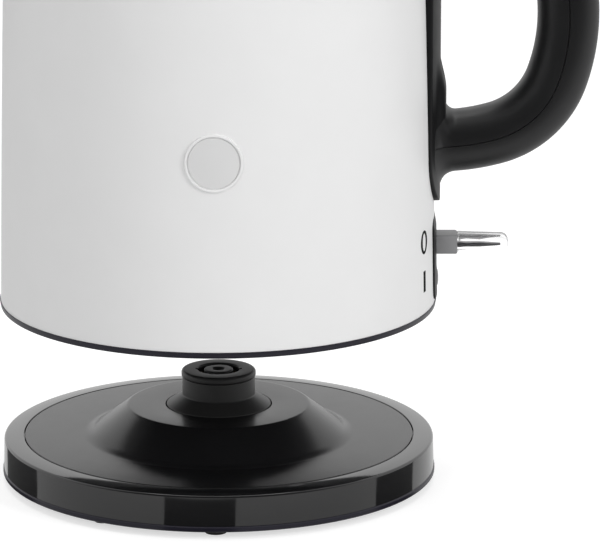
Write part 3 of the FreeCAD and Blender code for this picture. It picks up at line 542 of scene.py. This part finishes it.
node_materials = {
    "base_bottom_plate": trim_black, "base_feet": rubber, "base_screws": steel, "cord_clamp": inner_grey,
    "connector_ring_contact": contact, "connector_centre_contact": contact,
    "underside_cover": inner_grey, "underside_screws": steel, "control_unit": connector_black,
    "socket_contacts": contact, "heating_plate": steel, "heating_element": cast_metal, "plate_seal": rubber,
    "steam_tube": inner_grey, "strainer": inner_grey, "top_collar": satin_black, "lid_hinge_pin": steel,
    "handle_screws": steel, "gauge_window": gauge_clear, "switch_pivot_pin": steel,
    "lid_inner_plate": inner_grey, "lid_seal": rubber, "latch_bolt": inner_grey,
    "switch_lever": grey_matt, "lid_button": button_grey, "spout": white, "lid_cover": satin_black,
}
for node, material in node_materials.items():
    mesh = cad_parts[node].data
    mesh.materials.clear()
    mesh.materials.append(material)


# Power base


def base_ring():
    top_radius = ring_foot_radius - ring_lean
    bore = disc_radius + groove
    ledge = disc_radius - ring_ledge
    seat = base_top - disc_thickness
    under = seat - ring_wall
    corners = [
        (ring_foot_radius, plate_top, ring_foot_edge),
        (top_radius, base_top - ring_fall, ring_edge),
        (bore, base_top, ring_inner_edge),
        (bore, seat),
        (ledge, seat),
        (ledge, under),
        (top_radius - ring_wall, under),
        (ring_foot_radius - ring_wall, plate_top),
    ]
    ring = make_piece("base_ring_gloss", *turned(corners, wide_segments), "power_base", ["base_ring"],
                      "gloss_black", gloss_black)
    outlet_top = plate_top + outlet_height
    notch = [
        (-outlet_half, plate_top - cut_past),
        (outlet_half, plate_top - cut_past),
        (outlet_half, outlet_top, outlet_round),
        (-outlet_half, outlet_top, outlet_round),
    ]
    outline = rounded(notch)
    rings = [[(p.x, y, p.y) for p in outline] for y in (cut_from, cut_to)]
    carve(ring, make_cutter(*skin(rings, closed=False)))


def base_disc():
    hole = flare_radius + groove
    corners = [
        (disc_radius, base_top - disc_thickness),
        (disc_radius, base_top, disc_edge),
        (cone_foot_radius, base_top, cone_foot_round),
        (plateau_radius, plateau_z, plateau_round),
        (hole, plateau_z, plateau_edge),
        (hole, plateau_z - disc_thickness),
        (plateau_radius - cone_shift, plateau_z - disc_thickness),
        (cone_foot_radius - cone_shift, base_top - disc_thickness, cone_foot_round),
    ]
    make_piece("base_disc", *turned(corners, disc_segments, disc_round_steps), "power_base",
               ["base_top_plate"], "disc_plastic", disc_black)


def connector_post():
    flange_top = flange_z + flange_height
    shoulder = cap_seat - post_line
    corners = [
        (0, flange_z),
        (flange_radius, flange_z),
        (flange_radius, flange_top),
        (flare_radius, flange_top),
        (flare_radius, plateau_z + post_line, flare_edge),
        (post_radius, plateau_z + flare_height, post_foot_round),
        (post_radius, shoulder, post_edge),
        (slot_radius, shoulder),
        (slot_radius, slot_floor),
        (slot_inner_radius, slot_floor),
        (slot_inner_radius, connector_top, slot_inner_edge),
        (pin_hole_radius, connector_top, pin_hole_edge),
        (pin_hole_radius, slot_floor),
        (0, slot_floor),
    ]
    make_piece("connector_post_black", *turned(corners, narrow_segments), "connector", ["connector_post"],
               "connector_plastic", connector_black)


def connector_cap():
    corners = [
        (slot_radius, cap_seat),
        (cap_radius, cap_seat, cap_foot_edge),
        (cap_radius, connector_top, cap_edge),
        (slot_radius, connector_top, cap_inner_edge),
    ]
    cap = make_piece("connector_cap_black", *turned(corners, narrow_segments), "connector", ["connector_cap"],
                     "connector_plastic", connector_black)
    key = panel(key_half, cap_seat - cut_past, connector_top + cut_past, 0.0)
    key_reach = slot_radius + key_depth
    carve(cap, make_cutter(*prism_x(key, -key_reach, key_reach)))


# Kettle


def jug_wall():
    rows = 24
    heights = [body_z + (rim_z - body_z) * row / rows for row in range(rows + 1)]
    outer = [(body_radius(z), z) for z in heights]
    inner = [(body_radius(z) - body_wall, z) for z in reversed(heights)]
    wall = make_piece("jug_wall", *turned(outer + inner, wide_segments), "kettle", ["body_shell"],
                      "white_plastic", white)
    switch_hole = panel(lever_half + switch_hole_margin, bezel_low + opening_inset,
                        bezel_high - opening_inset, switch_hole_round)
    carve(wall, make_cutter(*prism_x(switch_hole)))
    sight_half = window_half - opening_inset
    sight = panel(sight_half, window_low + opening_inset, window_high - opening_inset, sight_half)
    carve(wall, make_cutter(*prism_x(sight)))
    carve(wall, spout_cutter())


def spout_cutter():
    """Pouring window in the wall behind the beak."""
    corners = [
        (-pour_low_half, rim_z - pour_low, pour_round),
        (pour_low_half, rim_z - pour_low, pour_round),
        (pour_high_half, rim_z - pour_high, pour_round),
        (-pour_high_half, rim_z - pour_high, pour_round),
    ]
    return make_cutter(*prism_x(corners, -cut_to, -cut_from))


def trim_ring():
    outer = body_radius(body_z + trim_fit_height) - body_wall - trim_fit
    inner = outer - trim_wall
    upstand_z = body_z + trim_upstand
    corners = [
        (trim_radius - trim_lean, kettle_z, trim_foot_edge),
        (trim_radius, body_z, trim_top_edge),
        (outer, body_z),
        (outer, upstand_z),
        (inner, upstand_z),
        (inner, kettle_z, trim_inner_edge),
    ]
    make_piece("trim_ring", *turned(corners, wide_segments), "kettle", ["bottom_trim_ring"], "trim_plastic",
               trim_black)


def badge_part(name, corners, node_names, material):
    """Piece of the round badge: an outline of radius and height over the wall, turned about its middle."""
    middle = (badge_low + badge_high) / 2
    outline = rounded(corners, badge_round_steps)
    rings = []
    for index in range(narrow_segments):
        angle = TURN * index / narrow_segments
        ring = []
        for p in outline:
            x = p.x * math.cos(angle)
            z = middle + p.x * math.sin(angle)
            reach = body_radius(z) + p.y
            ring.append((x, -math.sqrt(reach ** 2 - x ** 2), z))
        rings.append(ring)
    make_piece(name, *skin(rings), "kettle", node_names, "badge_plastic", material)


def badge():
    """Plain round badge on the front of the jug: a lower field inside a thin raised ring. The field takes a
    darker copy of the wall's white as painted shade.
    """
    radius = (badge_high - badge_low) / 2
    inside = radius - badge_stroke
    field = inside - badge_line
    field_corners = [
        (0, -badge_sunk),
        (0, badge_field),
        (field, badge_field, badge_field_edge),
        (field, -badge_sunk),
    ]
    ring_corners = [
        (inside, -badge_sunk),
        (inside, badge_rise, badge_inner_edge),
        (radius - badge_lean, badge_rise, badge_outer_edge),
        (radius, -badge_sunk),
    ]
    badge_part("badge", field_corners, ["front_badge"], badge_shaded_white)
    badge_part("badge_ring", ring_corners, [], white)


# Handle


def fade(value, start, end):
    """Smooth step from 0 at start to 1 at end."""
    share = min(1.0, max(0.0, (value - start) / (end - start)))
    return share * share * (3 - 2 * share)


def crown_drop(y):
    """How far the tongue's rounded face falls back beside its middle line."""
    return strip_crown - math.sqrt(strip_crown ** 2 - y ** 2)


def pad_share(y, z, middle, inward):
    """1 on the raised root of an arm, 0 on the bare tongue."""
    along = (z - middle) * inward
    rise = fade(along, -pad_blend, pad_blend) * (1 - fade(along, pad_inside, pad_inside + pad_fade))
    return rise * (1 - fade(abs(y), pad_half - pad_blend, pad_half))


def tongue_half(z):
    """Half the width of the tongue at a height."""
    short = max(0.0, strip_round - (z - strip_z))
    return strip_half - strip_round + math.sqrt(strip_round ** 2 - short ** 2)


def tongue_face(y, z, margin):
    """Front of the tongue at a point that lies a margin inside its edge."""
    face = strip_radius - crown_drop(y)
    root = math.sqrt(pad_radius ** 2 - y ** 2) - face
    raised = root * (pad_share(y, z, arm_low_z, 1) + pad_share(y, z, arm_high_z, -1))
    near = max(0.0, 1 - margin / strip_edge)
    return face + raised - strip_edge * (1 - math.sqrt(1 - near ** 2))


def tongue():
    """Black tongue on the wall behind the handle, with a rounded edge and a raised root for each arm."""
    rows = 160
    columns = 48
    crowding = 1.25
    tip_z = strip_z + strip_tip
    rings = []
    for row in range(rows + 1):
        z = tip_z + (rim_z - tip_z) * (row / rows) ** crowding
        half = tongue_half(z)
        base = body_radius(z) + strip_gap
        front = []
        back = []
        for column in range(columns + 1):
            u = math.sin(math.pi / 2 * (2 * column / columns - 1))
            y = half * u
            behind = math.sqrt(base ** 2 - y ** 2)
            margin = min(half * (1 - abs(u)), z - strip_z)
            front.append((max(tongue_face(y, z, margin), behind + strip_gap), y, z))
            back.append((behind, y, z))
        rings.append(front + back[::-1])
    piece = make_piece("tongue", *skin(rings, closed=False), "kettle", ["handle_backplate"], "satin_black",
                       tongue_black)
    opening = panel(window_half + opening_fit, window_low - opening_fit,
                    window_high + opening_fit, window_half)
    carve(piece, make_cutter(*prism_x(opening)))


def handle_arcs():
    """The arm, the bend and half the grip: turning point (x, z), radius, first and last angle."""
    middle_z = (arm_low_z + arm_high_z) / 2
    bend_radius = middle_z - arm_low_z - grip_flatter * math.sin(grip_lean)
    bend_radius -= arm_flatter * (1 - math.cos(arm_rise))
    down = -math.pi / 2
    arm_turn = Vector((arm_start, arm_low_z + bend_radius + arm_flatter))
    bend_turn = arm_turn + arm_flatter * Vector((math.sin(arm_rise), -math.cos(arm_rise)))
    grip_turn = bend_turn + grip_flatter * Vector((-math.cos(grip_lean), math.sin(grip_lean)))
    return [
        (arm_turn, bend_radius + arm_flatter, down, down + arm_rise),
        (bend_turn, bend_radius, down + arm_rise, -grip_lean),
        (grip_turn, bend_radius + grip_flatter, -grip_lean, 0.0),
    ]


def handle_path():
    """Stations along the handle's middle line, from root to root: place and outward direction (x, z)."""
    steps = 28
    stations = []
    for turn, radius, start, end in handle_arcs():
        for step in range(steps):
            angle = start + (end - start) * step / steps
            out = Vector((math.cos(angle), math.sin(angle)))
            stations.append((turn + radius * out, out))
    upper = []
    for place, out in reversed(stations):
        upper.append((Vector((place.x, arm_low_z + arm_high_z - place.y)), Vector((out.x, -out.y))))
    return stations + upper


def fillet(run):
    """How far the root's fillet stands out at a distance from the face it springs from."""
    left = root_fillet - min(root_fillet, max(0.0, run))
    return root_fillet - math.sqrt(root_fillet ** 2 - left ** 2)


def grip_outline(half, depth, rounding, side):
    """One half of the handle's section: across (y) and outward (n), from seam edge to seam edge."""
    steps = 12
    edge = [Vector((half - seam_edge, seam)), Vector((half, seam + seam_edge))]
    for step in range(steps + 1):
        angle = math.pi / 2 * step / steps
        corner = Vector((half - rounding, depth - rounding))
        edge.append(corner + rounding * Vector((math.cos(angle), math.sin(angle))))
    mirrored = [Vector((-p.x, p.y)) for p in reversed(edge)]
    return [(p.x, side * p.y) for p in edge + mirrored]


def handle_half_piece(name, node, side):
    """Inner (side -1) or outer (side 1) half of the handle, with filleted roots on the tongue."""
    root_face = strip_radius if side > 0 else pad_radius
    rings = []
    for place, out in handle_path():
        wide = fillet(place.x - strip_radius)
        deep = fillet(place.x - root_face)
        outline = grip_outline(handle_half + wide, handle_depth + deep, handle_round + min(wide, deep), side)
        settle = 1 - fade(place.x, strip_radius, strip_radius + root_fillet)
        ring = []
        for y, n in outline:
            ring.append((place.x + out.x * n - settle * crown_drop(y), y, place.y + out.y * n))
        rings.append(ring)
    make_piece(name, *skin(rings, closed=False), "kettle", [node], "satin_black", satin_black)


# Switch


def wall_point(y, z, proud):
    """Point at a height over the wall on the handle's side."""
    reach = body_radius(z) + proud
    return (math.sqrt(reach ** 2 - y ** 2), y, z)


def bezel_face(z, margin):
    """Height of the surround's face over the wall at a point that lies a margin inside its edge."""
    slope = min(1.0, (bezel_high + bezel_hood - z) / bezel_hood)
    near = max(0.0, 1 - margin / bezel_edge)
    return bezel_least + (bezel_proud - bezel_least) * slope * math.sqrt(1 - near ** 2)


def bezel():
    """Rounded surround of the switch, laid on the wall, with a soft edge and a sloped upper end."""
    rows = 64
    columns = 40
    top = bezel_high + bezel_hood
    rings = []
    for row in range(rows + 1):
        z = bezel_low + (top - bezel_low) * (0.5 - 0.5 * math.cos(math.pi * row / rows))
        end = min(z - bezel_low, top - z)
        half = bezel_half - bezel_round + math.sqrt(bezel_round ** 2 - max(0.0, bezel_round - end) ** 2)
        front = []
        back = []
        for column in range(columns + 1):
            u = math.sin(math.pi / 2 * (2 * column / columns - 1))
            y = half * u
            margin = min(half * (1 - abs(u)), end)
            front.append(wall_point(y, z, bezel_face(z, margin)))
            back.append(wall_point(y, z, -body_wall - bezel_behind))
        rings.append(front + back[::-1])
    piece = make_piece("switch_surround", *skin(rings, closed=False), "kettle", ["switch_bezel"],
                       "satin_black", tongue_black)
    slot_low = lever_low - lever_clearance - lever_drop
    slot = panel(lever_half + lever_clearance, slot_low, lever_high + lever_clearance, lever_slot_round)
    carve(piece, make_cutter(*prism_x(slot)))
    opening = panel(lens_half + opening_fit, lens_low - opening_fit, lens_high + opening_fit, lens_half)
    carve(piece, make_cutter(*prism_x(opening)))


def lens():
    middle = (lens_low + lens_high) / 2
    outline = rounded(panel(lens_half, lens_low, lens_high, lens_half), lens_round_steps)
    rings = []
    for share, proud in lens_dome:
        rings.append([wall_point(p.x * share, middle + (p.y - middle) * share, proud) for p in outline])
    make_piece("lens", *skin(rings, closed=False), "kettle", ["indicator_lens"], "lens_plastic", lens_grey)


def lever_section(x, inset, rounding):
    """Ring of points around the lever's collar or tip at a place along it."""
    outline = rounded(panel(lever_half - inset, lever_low + inset, lever_high - inset, rounding))
    return [(x, p.x, p.y) for p in outline]


def lever_collar():
    stations = [(lever_start + run, inset) for run, inset in collar_start_edge]
    stations += [(collar_end - run, inset) for run, inset in collar_end_edge]
    rings = [lever_section(x, inset, collar_round) for x, inset in stations]
    make_piece("lever_grip_collar", *skin(rings, closed=False), "switch", ["lever_collar"], "grey_plastic",
               grey_matt)


def lever_tip():
    """Clear tip with a slight taper and a rounded end."""
    taper_steps = 4
    end_steps = 8
    start = collar_end + tip_begin
    straight = lever_end - tip_end_round
    rings = [lever_section(collar_end, tip_root_inset, tip_root_round)]
    rings.append(lever_section(collar_end + tip_neck, tip_inset, tip_root_round))
    for step in range(taper_steps + 1):
        share = step / taper_steps
        x = start + (straight - start) * share
        rings.append(lever_section(x, tip_inset + tip_taper * share, tip_round))
    for step in range(1, end_steps + 1):
        share = step / end_steps
        angle = math.pi / 2 * share
        x = straight + tip_end_round * math.sin(angle)
        inset = tip_inset + tip_taper + tip_end_round * (1 - math.cos(angle)) * (1 - tip_end_flat)
        rings.append(lever_section(x, inset, tip_round - tip_end_fade * share))
    make_piece("lever_clear_tip", *skin(rings, closed=False), "switch", ["lever_tip"], "clear_plastic",
               tip_clear)


def lever_core():
    """Grey blade inside the clear tip, lower and thinner toward its end: a painted refraction of the collar's
    end seen through the tip.
    """
    middle = (lever_low + lever_high) / 2 - core_drop
    rings = []
    for run, half, thick in core_stations:
        corners = panel(half, middle - thick, middle + thick, thick * core_round)
        outline = rounded(corners, small_round_steps)
        rings.append([(collar_end + run, p.x, p.y) for p in outline])
    make_piece("lever_tip_core", *skin(rings, closed=False), "switch", [], "grey_plastic", painted_refraction_grey)


# Switch signs


def on_wall(across, z, proud):
    """Point on the wall at a distance along its girth from the signs' middle line."""
    angle = mark_angle + across / body_radius(z)
    reach = body_radius(z) + proud
    return (reach * math.cos(angle), reach * math.sin(angle), z)


def off_mark():
    """The O: a flat oval ring."""
    segments = 64
    inner_half = off_mark_half - off_mark_side
    inner_tall = off_mark_tall - off_mark_stroke
    corners = [
        (off_mark_half, off_mark_tall, -mark_sunk),
        (off_mark_half, off_mark_tall, mark_proud),
        (inner_half, inner_tall, mark_proud),
        (inner_half, inner_tall, -mark_sunk),
    ]
    rings = []
    for index in range(segments):
        angle = TURN * index / segments
        ring = []
        for half, tall, proud in corners:
            ring.append(on_wall(half * math.cos(angle), off_mark_z + tall * math.sin(angle), proud))
        rings.append(ring)
    make_piece("off_mark", *skin(rings), "kettle", [], "satin_black", mark_black)


def on_mark():
    """The I: a flat upright bar."""
    half = on_mark_stroke / 2
    tall = on_mark_height / 2
    outline = rounded(panel(half, on_mark_z - tall, on_mark_z + tall, on_mark_edge), small_round_steps)
    rings = [[on_wall(p.x, p.y, proud) for p in outline] for proud in (-mark_sunk, mark_proud)]
    make_piece("on_mark", *skin(rings, closed=False), "kettle", [], "satin_black", mark_black)


# Lid


def button_coil():
    """Coil spring under the lid button."""
    steps = 40
    sides = 8
    wire_radius = coil_wire / 2
    foot = low("button_spring", 2) + wire_radius
    height = high("button_spring", 2) - wire_radius - foot
    radius = (high("button_spring", 1) - low("button_spring", 1)) / 2 - wire_radius
    rings = []
    for step in range(int(coil_turns * steps) + 1):
        angle = TURN * step / steps
        z = foot + height * step / (coil_turns * steps)
        ring = []
        for side in range(sides):
            around = TURN * side / sides
            reach = radius + wire_radius * math.cos(around)
            x = button_x + reach * math.cos(angle)
            ring.append((x, reach * math.sin(angle), z + wire_radius * math.sin(around)))
        rings.append(ring)
    coil = make_piece("button_coil", *skin(rings, closed=False), "lid", ["button_spring"], "steel", steel)
    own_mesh(coil)


base_ring()
base_disc()
connector_post()
connector_cap()
jug_wall()
trim_ring()
badge()
tongue()
handle_half_piece("handle_inner_half", "handle_inner_shell", -1)
handle_half_piece("handle_outer_half", "handle_outer_shell", 1)
bezel()
lens()
lever_collar()
lever_tip()
lever_core()
off_mark()
on_mark()
button_coil()


# Stage: floor, light and camera


# Shading of floor and world: places along y (metres on the floor, a direction's share in the world) and
# the values there
floor_roughness = 0.9
floor_tone = 0.55
floor_glow = 0.62        # light of its own that makes the floor white to the camera
floor_gloss_places = (-0.45, -0.13)
floor_gloss_tone = (0.05, 0.4)
floor_gloss_glow = (0.03, 0.42)
floor_clear_places = (0.0, 0.3)
world_light_level = 0.43
world_gloss_places = (-0.8, 0.2)
world_gloss = (0.12, 1.0)
world_clear_places = (0.3, 0.9)
world_clear = (0.05, 1.0)

floor_half = 6000.0
card_length = 90.0
card_height = 0.3
lamp_aim = Vector((0.0, 0.0, 120.0))

# Camera, fitted to the photograph's round outlines
camera_place = Vector((29.33, -1677.97, 513.8))
camera_tilt = math.radians(75.281)
camera_lens = 290.3
camera_sensor = 36.0
camera_clip = 100.0      # metres


def calculate(tree, operation, first, second):
    """Math node of two values, each a number or another node's output."""
    node = tree.nodes.new("ShaderNodeMath")
    node.operation = operation
    for socket, value in zip(node.inputs, (first, second)):
        if isinstance(value, (int, float)):
            socket.default_value = value
        else:
            tree.links.new(value, socket)
    return node.outputs["Value"]


def along_y(tree, vector, places, values):
    """Value that goes smoothly from one to the other of two values between two places along y."""
    parts = tree.nodes.new("ShaderNodeSeparateXYZ")
    tree.links.new(vector, parts.inputs["Vector"])
    node = tree.nodes.new("ShaderNodeMapRange")
    node.interpolation_type = "SMOOTHSTEP"
    node.inputs["From Min"].default_value = places[0]
    node.inputs["From Max"].default_value = places[1]
    node.inputs["To Min"].default_value = values[0]
    node.inputs["To Max"].default_value = values[1]
    tree.links.new(parts.outputs["Y"], node.inputs["Value"])
    return node.outputs["Result"]


def seen_strength(tree, plain, white_level, through, glossy):
    """Strength by the kind of ray: white to the camera, shaded in clear parts and gloss, plain as light."""
    path = tree.nodes.new("ShaderNodeLightPath")
    total = plain
    kinds = (("Is Camera Ray", white_level), ("Is Transmission Ray", through), ("Is Glossy Ray", glossy))
    for kind, level in kinds:
        change = calculate(tree, "SUBTRACT", level, plain)
        total = calculate(tree, "ADD", total, calculate(tree, "MULTIPLY", path.outputs[kind], change))
    return total


def floor_material():
    """Pale floor that keeps shadows and is white to the camera. Its front part mirrors darker."""
    material, tree, shader = node_material("floor")
    shader.inputs["Roughness"].default_value = floor_roughness
    shader.inputs["Specular IOR Level"].default_value = 0.0
    shader.inputs["Emission Color"].default_value = (1, 1, 1, 1)
    place = tree.nodes.new("ShaderNodeTexCoord").outputs["Object"]
    gloss_tone = along_y(tree, place, floor_gloss_places, floor_gloss_tone)
    gloss_glow = along_y(tree, place, floor_gloss_places, floor_gloss_glow)
    clear_glow = along_y(tree, place, floor_clear_places, (0.0, floor_glow))
    tone = seen_strength(tree, floor_tone, floor_tone, floor_tone, gloss_tone)
    glow = seen_strength(tree, 0.0, floor_glow, clear_glow, gloss_glow)
    tree.links.new(tone, shader.inputs["Base Color"])
    tree.links.new(glow, shader.inputs["Emission Strength"])
    return material


def stage_floor():
    vertices = [(-floor_half, -floor_half, 0), (floor_half, -floor_half, 0),
                (floor_half, floor_half, 0), (-floor_half, floor_half, 0)]
    stage_sheet("floor", vertices, floor_material())


def stage_sheet(name, vertices, material):
    mesh = bpy.data.meshes.new(name)
    mesh.from_pydata([Vector(v) * MM for v in vertices], [], [(0, 1, 2, 3)])
    mesh.materials.append(material)
    sheet = bpy.data.objects.new(name, mesh)
    bpy.context.scene.collection.objects.link(sheet)
    return sheet


def dark_card(name, start, end):
    """Dark card on the floor that only shows as a dark panel in the gloss of the base's side.

    Start and end are degrees around the base, from the front toward the left."""
    edges = []
    for degrees in (start, end):
        angle = math.radians(degrees)
        foot = Vector((-math.sin(angle), -math.cos(angle))) * base_radius
        away = Vector((-math.sin(2 * angle), -math.cos(2 * angle))) * card_length
        edges.append(((*foot, card_height), (*(foot + away), card_height)))
    vertices = [edges[0][0], edges[0][1], edges[1][1], edges[1][0]]
    card = stage_sheet(name, vertices, card_black)
    card.visible_camera = False
    card.visible_diffuse = False
    card.visible_transmission = False
    card.visible_shadow = False


def world_light():
    world = bpy.data.worlds.new("studio")
    bpy.context.scene.world = world
    world.use_nodes = True
    tree = world.node_tree
    background = tree.nodes["Background"]
    background.inputs["Color"].default_value = (1, 1, 1, 1)
    direction = tree.nodes.new("ShaderNodeTexCoord").outputs["Generated"]
    gloss = along_y(tree, direction, world_gloss_places, world_gloss)
    through = along_y(tree, direction, world_clear_places, world_clear)
    strength = seen_strength(tree, world_light_level, 1.0, through, gloss)
    tree.links.new(strength, background.inputs["Strength"])


def area_light(name, place, width, height, power, mirrored):
    """Soft lamp aimed at the object. A lamp that isn't mirrored leaves no patch in gloss."""
    light = bpy.data.lights.new(name, "AREA")
    light.shape = "RECTANGLE"
    light.size = width * MM
    light.size_y = height * MM
    light.energy = power
    lamp = bpy.data.objects.new(name, light)
    lamp.location = Vector(place) * MM
    lamp.rotation_euler = (lamp_aim - Vector(place)).to_track_quat("-Z", "Y").to_euler()
    lamp.visible_glossy = mirrored
    bpy.context.scene.collection.objects.link(lamp)


def camera():
    lens_data = bpy.data.cameras.new("photo_view")
    lens_data.sensor_width = camera_sensor
    lens_data.lens = camera_lens
    lens_data.clip_end = camera_clip
    eye = bpy.data.objects.new("photo_view", lens_data)
    eye.location = camera_place * MM
    eye.rotation_euler = (camera_tilt, 0.0, 0.0)
    bpy.context.scene.collection.objects.link(eye)
    bpy.context.scene.camera = eye


card_black = moulded("card_black", (0.10, 0.10, 0.10), 0.1, 0.9, 500.0, 0.00001)
stage_floor()
dark_card("front_card", start=-5.0, end=13.6)
dark_card("left_card", start=55.8, end=78.0)
dark_card("right_card", start=-46.5, end=-63.7)
world_light()
area_light("key", (1206, -845, 700), width=600, height=900, power=11.1, mirrored=False)
area_light("fill", (-640, -1203, 700), width=600, height=900, power=5.7, mirrored=False)
area_light("top", (0, 200, 1500), width=1100, height=900, power=12.0, mirrored=True)
camera()
bpy.context.scene.view_settings.view_transform = "Standard"
